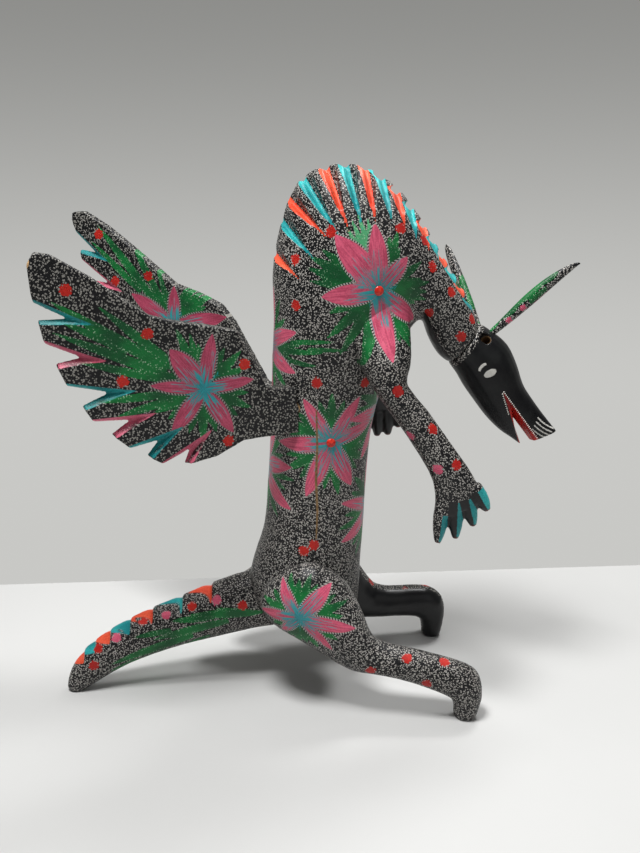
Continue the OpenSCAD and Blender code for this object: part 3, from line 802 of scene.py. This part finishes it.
def leafPiece(node, name, leaf):
    root, way = np.array(leaf["root"]), np.array(leaf["way"]) / np.linalg.norm(leaf["way"])
    upward = np.array([0.0, 0.0, 1.0]) - way * way[2]
    upward /= np.linalg.norm(upward)

    def leafFields(points, normals):
        offset = points - root
        along = offset @ way
        above = offset @ upward
        green = np.minimum(above - leaf["edge"] + np.sin(along / 3) * 0.8, (leaf["green"] - along) * 0.3)
        begin, end = leafSettings["strip"]
        strip = np.minimum(leafSettings["stripHalf"] - np.abs(above + 0.2),
                           np.minimum(along - begin, end - along) * 0.4)
        begin, end = leafSettings["pinkEdge"]
        pink = np.minimum(-above - 3.2, np.minimum(along - begin, end - along) * 0.3)
        blush = np.full(len(points), -far)
        for place in leafSettings["spots"]:
            blush = np.maximum(blush, leafSettings["spotRadius"] - np.hypot(along - place, above + 0.4))
        fromPeg = leafSettings["pegRadius"] - np.linalg.norm(offset - np.outer(along, way), axis=1)
        return {"leaf": np.maximum(green, strip), "blush": blush, "plain": along - leaf["tip"],
                "warm": pink, "bare": np.minimum(-along - leafSettings["pegEnd"], fromPeg)}

    settings = {"voxel": 0.5, "rounds": 4, "carve": 0.25, "flowers": [], "spots": [],
                "material": leafPaint, "body": node, "slot": "painted_leaf"}
    limb(node, name, settings, leafFields)


# root and direction, how high the green edge begins and how far it runs, and where the black tip
# starts, which for the ear is past its end
hornSettings = {"root": (136.5, -1, 289), "way": (0.743, 0, 0.669), "edge": 2.2, "green": 68, "tip": 80}
earSettings = {"root": (131.5, 12.5, 289), "way": (-0.25, 0.65, 0.72), "edge": 3.4, "green": 50, "tip": 100}
leafPiece("horn", "paintedHorn", hornSettings)
leafPiece("left_ear", "paintedLeftEar", earSettings)

# head: black, with a red mouth, white eyes and white stripes at the snout
headSettings = {
    "voxel": 0.75, "rounds": 16, "sink": {"depth": 2.0, "reach": 1.2},
    "cutSlim": [(147, 228), (159.5, 197), (171, 197)], "cutWide": [(142, 246), (156, 198), (177, 197)],
    "mouth": [(138, 248.5), (158, 198), (178.5, 197)], "cutSide": 18.0, "eye": (132.5, 266.5),
    "almond": ((2.8, -2.6), 28, 4.9, 2.9), "crescent": ((-3.2, 2.0), 52, 4.0, 2.2),
    "crescentCut": ((-1.3, 0.4), 52, 4.2, 2.4),
    "stripes": 4, "stripeStart": (172.0, 217.4), "startStep": (1.3, 2.9),
    "stripeEnd": (185.5, 208.6), "endStep": (1.7, 2.3), "stripeHalf": 0.5, "stripeBow": 0.9,
    "neck": (113.5, -1, 277.5), "neckWay": (0.806, 0, -0.592), "socketRadius": 3.9,
    "socket": (132.07, -13.01, 287.35), "socketWay": (-0.2496, -0.6489, 0.7188)}


def ovalField(flat, centre, aside, angle, halfLong, halfShort):
    # mm inside an oval that stands aside from the eye's centre
    turn = math.radians(angle)
    offset = flat - (np.array(centre) + np.array(aside))
    along = offset @ np.array([math.cos(turn), math.sin(turn)])
    across = offset @ np.array([-math.sin(turn), math.cos(turn)])
    return (1 - np.hypot(along / halfLong, across / halfShort)) * halfShort


def headFields(points, normals):
    flat = points[:, [0, 2]]
    carved = (points - carving)[:, [0, 2]]
    depth = np.abs(points[:, 1] - middleY) / headSettings["cutSide"]
    cut = wedgeField(carved, depth, headSettings["cutSlim"], headSettings["cutWide"]) + 0.45
    lips = wedgeField(carved, depth, headSettings["mouth"], headSettings["mouth"]) + 0.2
    mouth = np.where(np.abs(normals[:, 1]) > 0.6, lips, np.maximum(cut, lips))
    sideways = (np.abs(normals[:, 1]) - 0.4) * 20
    eye = headSettings["eye"]
    crescent = np.minimum(ovalField(flat, eye, *headSettings["crescent"]),
                          -ovalField(flat, eye, *headSettings["crescentCut"]))
    white = np.maximum(ovalField(flat, eye, *headSettings["almond"]), crescent)
    for step in range(headSettings["stripes"]):
        start = np.array(headSettings["stripeStart"]) + step * np.array(headSettings["startStep"])
        end = np.array(headSettings["stripeEnd"]) + step * np.array(headSettings["endStep"])
        length = np.linalg.norm(end - start)
        way = (end - start) / length
        along = (flat - start) @ way
        bow = np.sin(np.clip(along / length, 0, 1) * math.pi) * headSettings["stripeBow"]
        across = (flat - start) @ np.array([-way[1], way[0]]) + bow
        beside = headSettings["stripeHalf"] - np.abs(across)
        white = np.maximum(white, np.minimum(beside, np.minimum(along, length - along)))
    white = np.minimum(white, sideways)
    neck = 3.6 - (points - np.array(headSettings["neck"])) @ np.array(headSettings["neckWay"])
    offset = points - np.array(headSettings["socket"])
    way = np.array(headSettings["socketWay"])
    radial = np.linalg.norm(offset - np.outer(offset @ way, way), axis=1)
    bare = np.minimum(headSettings["socketRadius"] - radial, 1.0 - np.abs(offset @ way + 4.0) * 0.2)
    collar = np.minimum(neck, (normals[:, 2] + 0.75) * 9)
    return {"mouth": mouth, "white": white, "collar": collar, "bare": bare}


head = finishedCopy("head", "paintedHead", headSettings["voxel"])
points, normals = surfaceOf(head)
marks = headFields(points, normals)
openings = np.maximum(marks["mouth"], marks["bare"])
soften(head, np.clip((-openings - 0.6) / 4, 0, 1), headSettings["rounds"])
sinkInto(head, trunkTree, **headSettings["sink"])
points, normals = surfaceOf(head)
layPaint(head, headFields(points, normals), ("mouth", "white", "collar", "bare"))
headTree = treeOf(head)
finishPiece(head, headPaint, "head", "figure")
print("head done:", len(head.data.vertices), "points")


# small raised pieces: beads are one rounded drop, copied onto the skin where each belongs
def bead(name, radius, flatness, around):
    bpy.ops.mesh.primitive_uv_sphere_add(segments=around, ring_count=around // 2, radius=radius * mm)
    made = bpy.context.active_object
    made.name = name
    bpy.ops.object.mode_set(mode="EDIT")
    bpy.ops.mesh.select_all(action="SELECT")
    bpy.ops.transform.resize(value=(1, 1, flatness))
    bpy.ops.object.mode_set(mode="OBJECT")
    return made


def setBeads(name, pattern, seats, material):
    # seats are (place, outward normal) on a skin; all the copies become one piece
    copies = []
    for place, normal in seats:
        copy = bpy.data.objects.new(name, pattern.data.copy())
        bpy.context.collection.objects.link(copy)
        turn = Vector(normal).to_track_quat("Z", "Y").to_matrix().to_4x4()
        copy.data.transform(turn)
        copy.data.transform(turn.Translation(place))
        copies.append(copy)
    bpy.ops.object.select_all(action="DESELECT")
    for copy in copies:
        copy.select_set(True)
    bpy.context.view_layer.objects.active = copies[0]
    bpy.ops.object.join()
    made = bpy.context.active_object
    made.name = name
    bpy.data.objects.remove(pattern)
    finishPiece(made, material, None, "figure")


def seatOn(tree, x, z, side):
    # where a line across the figure meets a skin on one side
    start = Vector((x * mm, side * 0.12, z * mm))
    return tree.ray_cast(start, Vector((0, -side, 0)))[:2]


# dots along the two lips, each line as its two ends in x and z
teethSettings = {"radius": 0.62, "step": 1.75, "upper": [(146.8, 248.7), (178.8, 206.6)],
                 "lower": [(146.0, 247.0), (152.6, 229.0)]}
seats = []
for side in (-1, 1):
    for (x, z), (endX, endZ) in (teethSettings["upper"], teethSettings["lower"]):
        length = math.hypot(endX - x, endZ - z)
        count = round(length / teethSettings["step"])
        for step in range(count):
            share = step / count
            spot, normal = seatOn(headTree, x + (endX - x) * share, z + (endZ - z) * share, side)
            if spot is not None and abs(normal.y) > 0.5:
                seats.append((spot, normal))
setBeads("teethDots", bead("toothDot", teethSettings["radius"], 0.7, 8), seats, enamelWhite)

heartSettings = {"radius": 3.5, "flowers": [humpFlower, chestFlower]}
seats = []
for flower in heartSettings["flowers"]:
    x, _, z = flower["centre"]
    seats += [seatOn(trunkTree, x, z, side) for side in (-1, 1)]
setBeads("flowerHearts", bead("heart", heartSettings["radius"], 0.45, 20), seats, enamelRed)

# putty in the drying crack: skin within near mm of the trunk's comes to stand a little proud of it
fillerSettings = {"voxel": 0.4, "near": 1.2, "proud": 0.28, "carve": 0.2}
filler = finishedCopy("crack_filler", "crackPutty", fillerSettings["voxel"])
for vertex in filler.data.vertices:
    spot, normal = trunkTree.find_nearest(vertex.co, fillerSettings["near"] * mm)[:2]
    if spot is not None:
        vertex.co = spot + normal * fillerSettings["proud"] * mm
carve(filler, fillerSettings["carve"])
finishPiece(filler, putty, "crack_filler", "figure")
for node in ("neck_dowel", "right_arm_dowel", "left_arm_dowel", "right_leg_dowels", "left_leg_dowels",
             "tail_dowel"):
    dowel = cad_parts[node]
    dowel.data.materials.clear()
    dowel.data.materials.append(bareWood)
print("small pieces done")

# floor and lights, in metres and watts; the floor is as wide each way as it comes near, and its
# far edge, where a wall would stand, is turned by some degrees
floorSettings = {"near": -2.4, "far": 0.178, "turn": 3.9}
bpy.ops.mesh.primitive_plane_add(size=1.0)
floor = bpy.context.active_object
floor.name = "floor"
for vertex in floor.data.vertices:
    across = vertex.co.x * 2 * floorSettings["near"]
    depth = floorSettings["near"] if vertex.co.y < 0 else floorSettings["far"]
    slant = math.tan(math.radians(floorSettings["turn"])) * across if vertex.co.y > 0 else 0.0
    vertex.co = (across, depth + slant, 0.0)
floorPaint = grainMaterial("floorPaint", colour(0.60, 0.60, 0.59), colour(0.63, 0.63, 0.62),
                           (3.0, 3.0, 3.0), 0.55, 0.00005)
floor.data.materials.append(floorPaint)

world = bpy.data.worlds.new("studio")
bpy.context.scene.world = world
world.use_nodes = True
air = Brush(world.node_tree)
direction = air.node("TexCoord", {}, out=0)
height = air.node("SeparateXYZ", {0: direction}, out=2)
ahead = air.node("SeparateXYZ", {0: direction}, out=1)
backdrop = air.mix(height.ramp(-0.25, 0.20), colour(0.61, 0.61, 0.59), colour(0.27, 0.27, 0.26))
shade = air.mix(ahead.ramp(0.35, -0.1), backdrop, colour(0.09, 0.09, 0.09))
background = world.node_tree.nodes["Background"]
world.node_tree.links.new(shade.socket, background.inputs["Color"])
background.inputs["Strength"].default_value = 0.95

lamps = {
    "key": {"place": (-0.22, -0.30, 1.40), "size": 0.35, "power": 20.0},
    "top": {"place": (0.45, 0.50, 1.30), "size": 0.35, "power": 9.0},
    "fill": {"place": (0.9, -0.9, 0.7), "size": 1.0, "power": 1.5}}
for name, lamp in lamps.items():
    light = bpy.data.lights.new(name, "AREA")
    light.size = lamp["size"]
    light.energy = lamp["power"]
    holder = bpy.data.objects.new(name, light)
    holder.location = lamp["place"]
    aim = Vector((0, 0, 0.2)) - Vector(lamp["place"])
    holder.rotation_euler = aim.to_track_quat("-Z", "Y").to_euler()
    holder.visible_camera = False
    bpy.context.collection.objects.link(holder)
print("stage done")
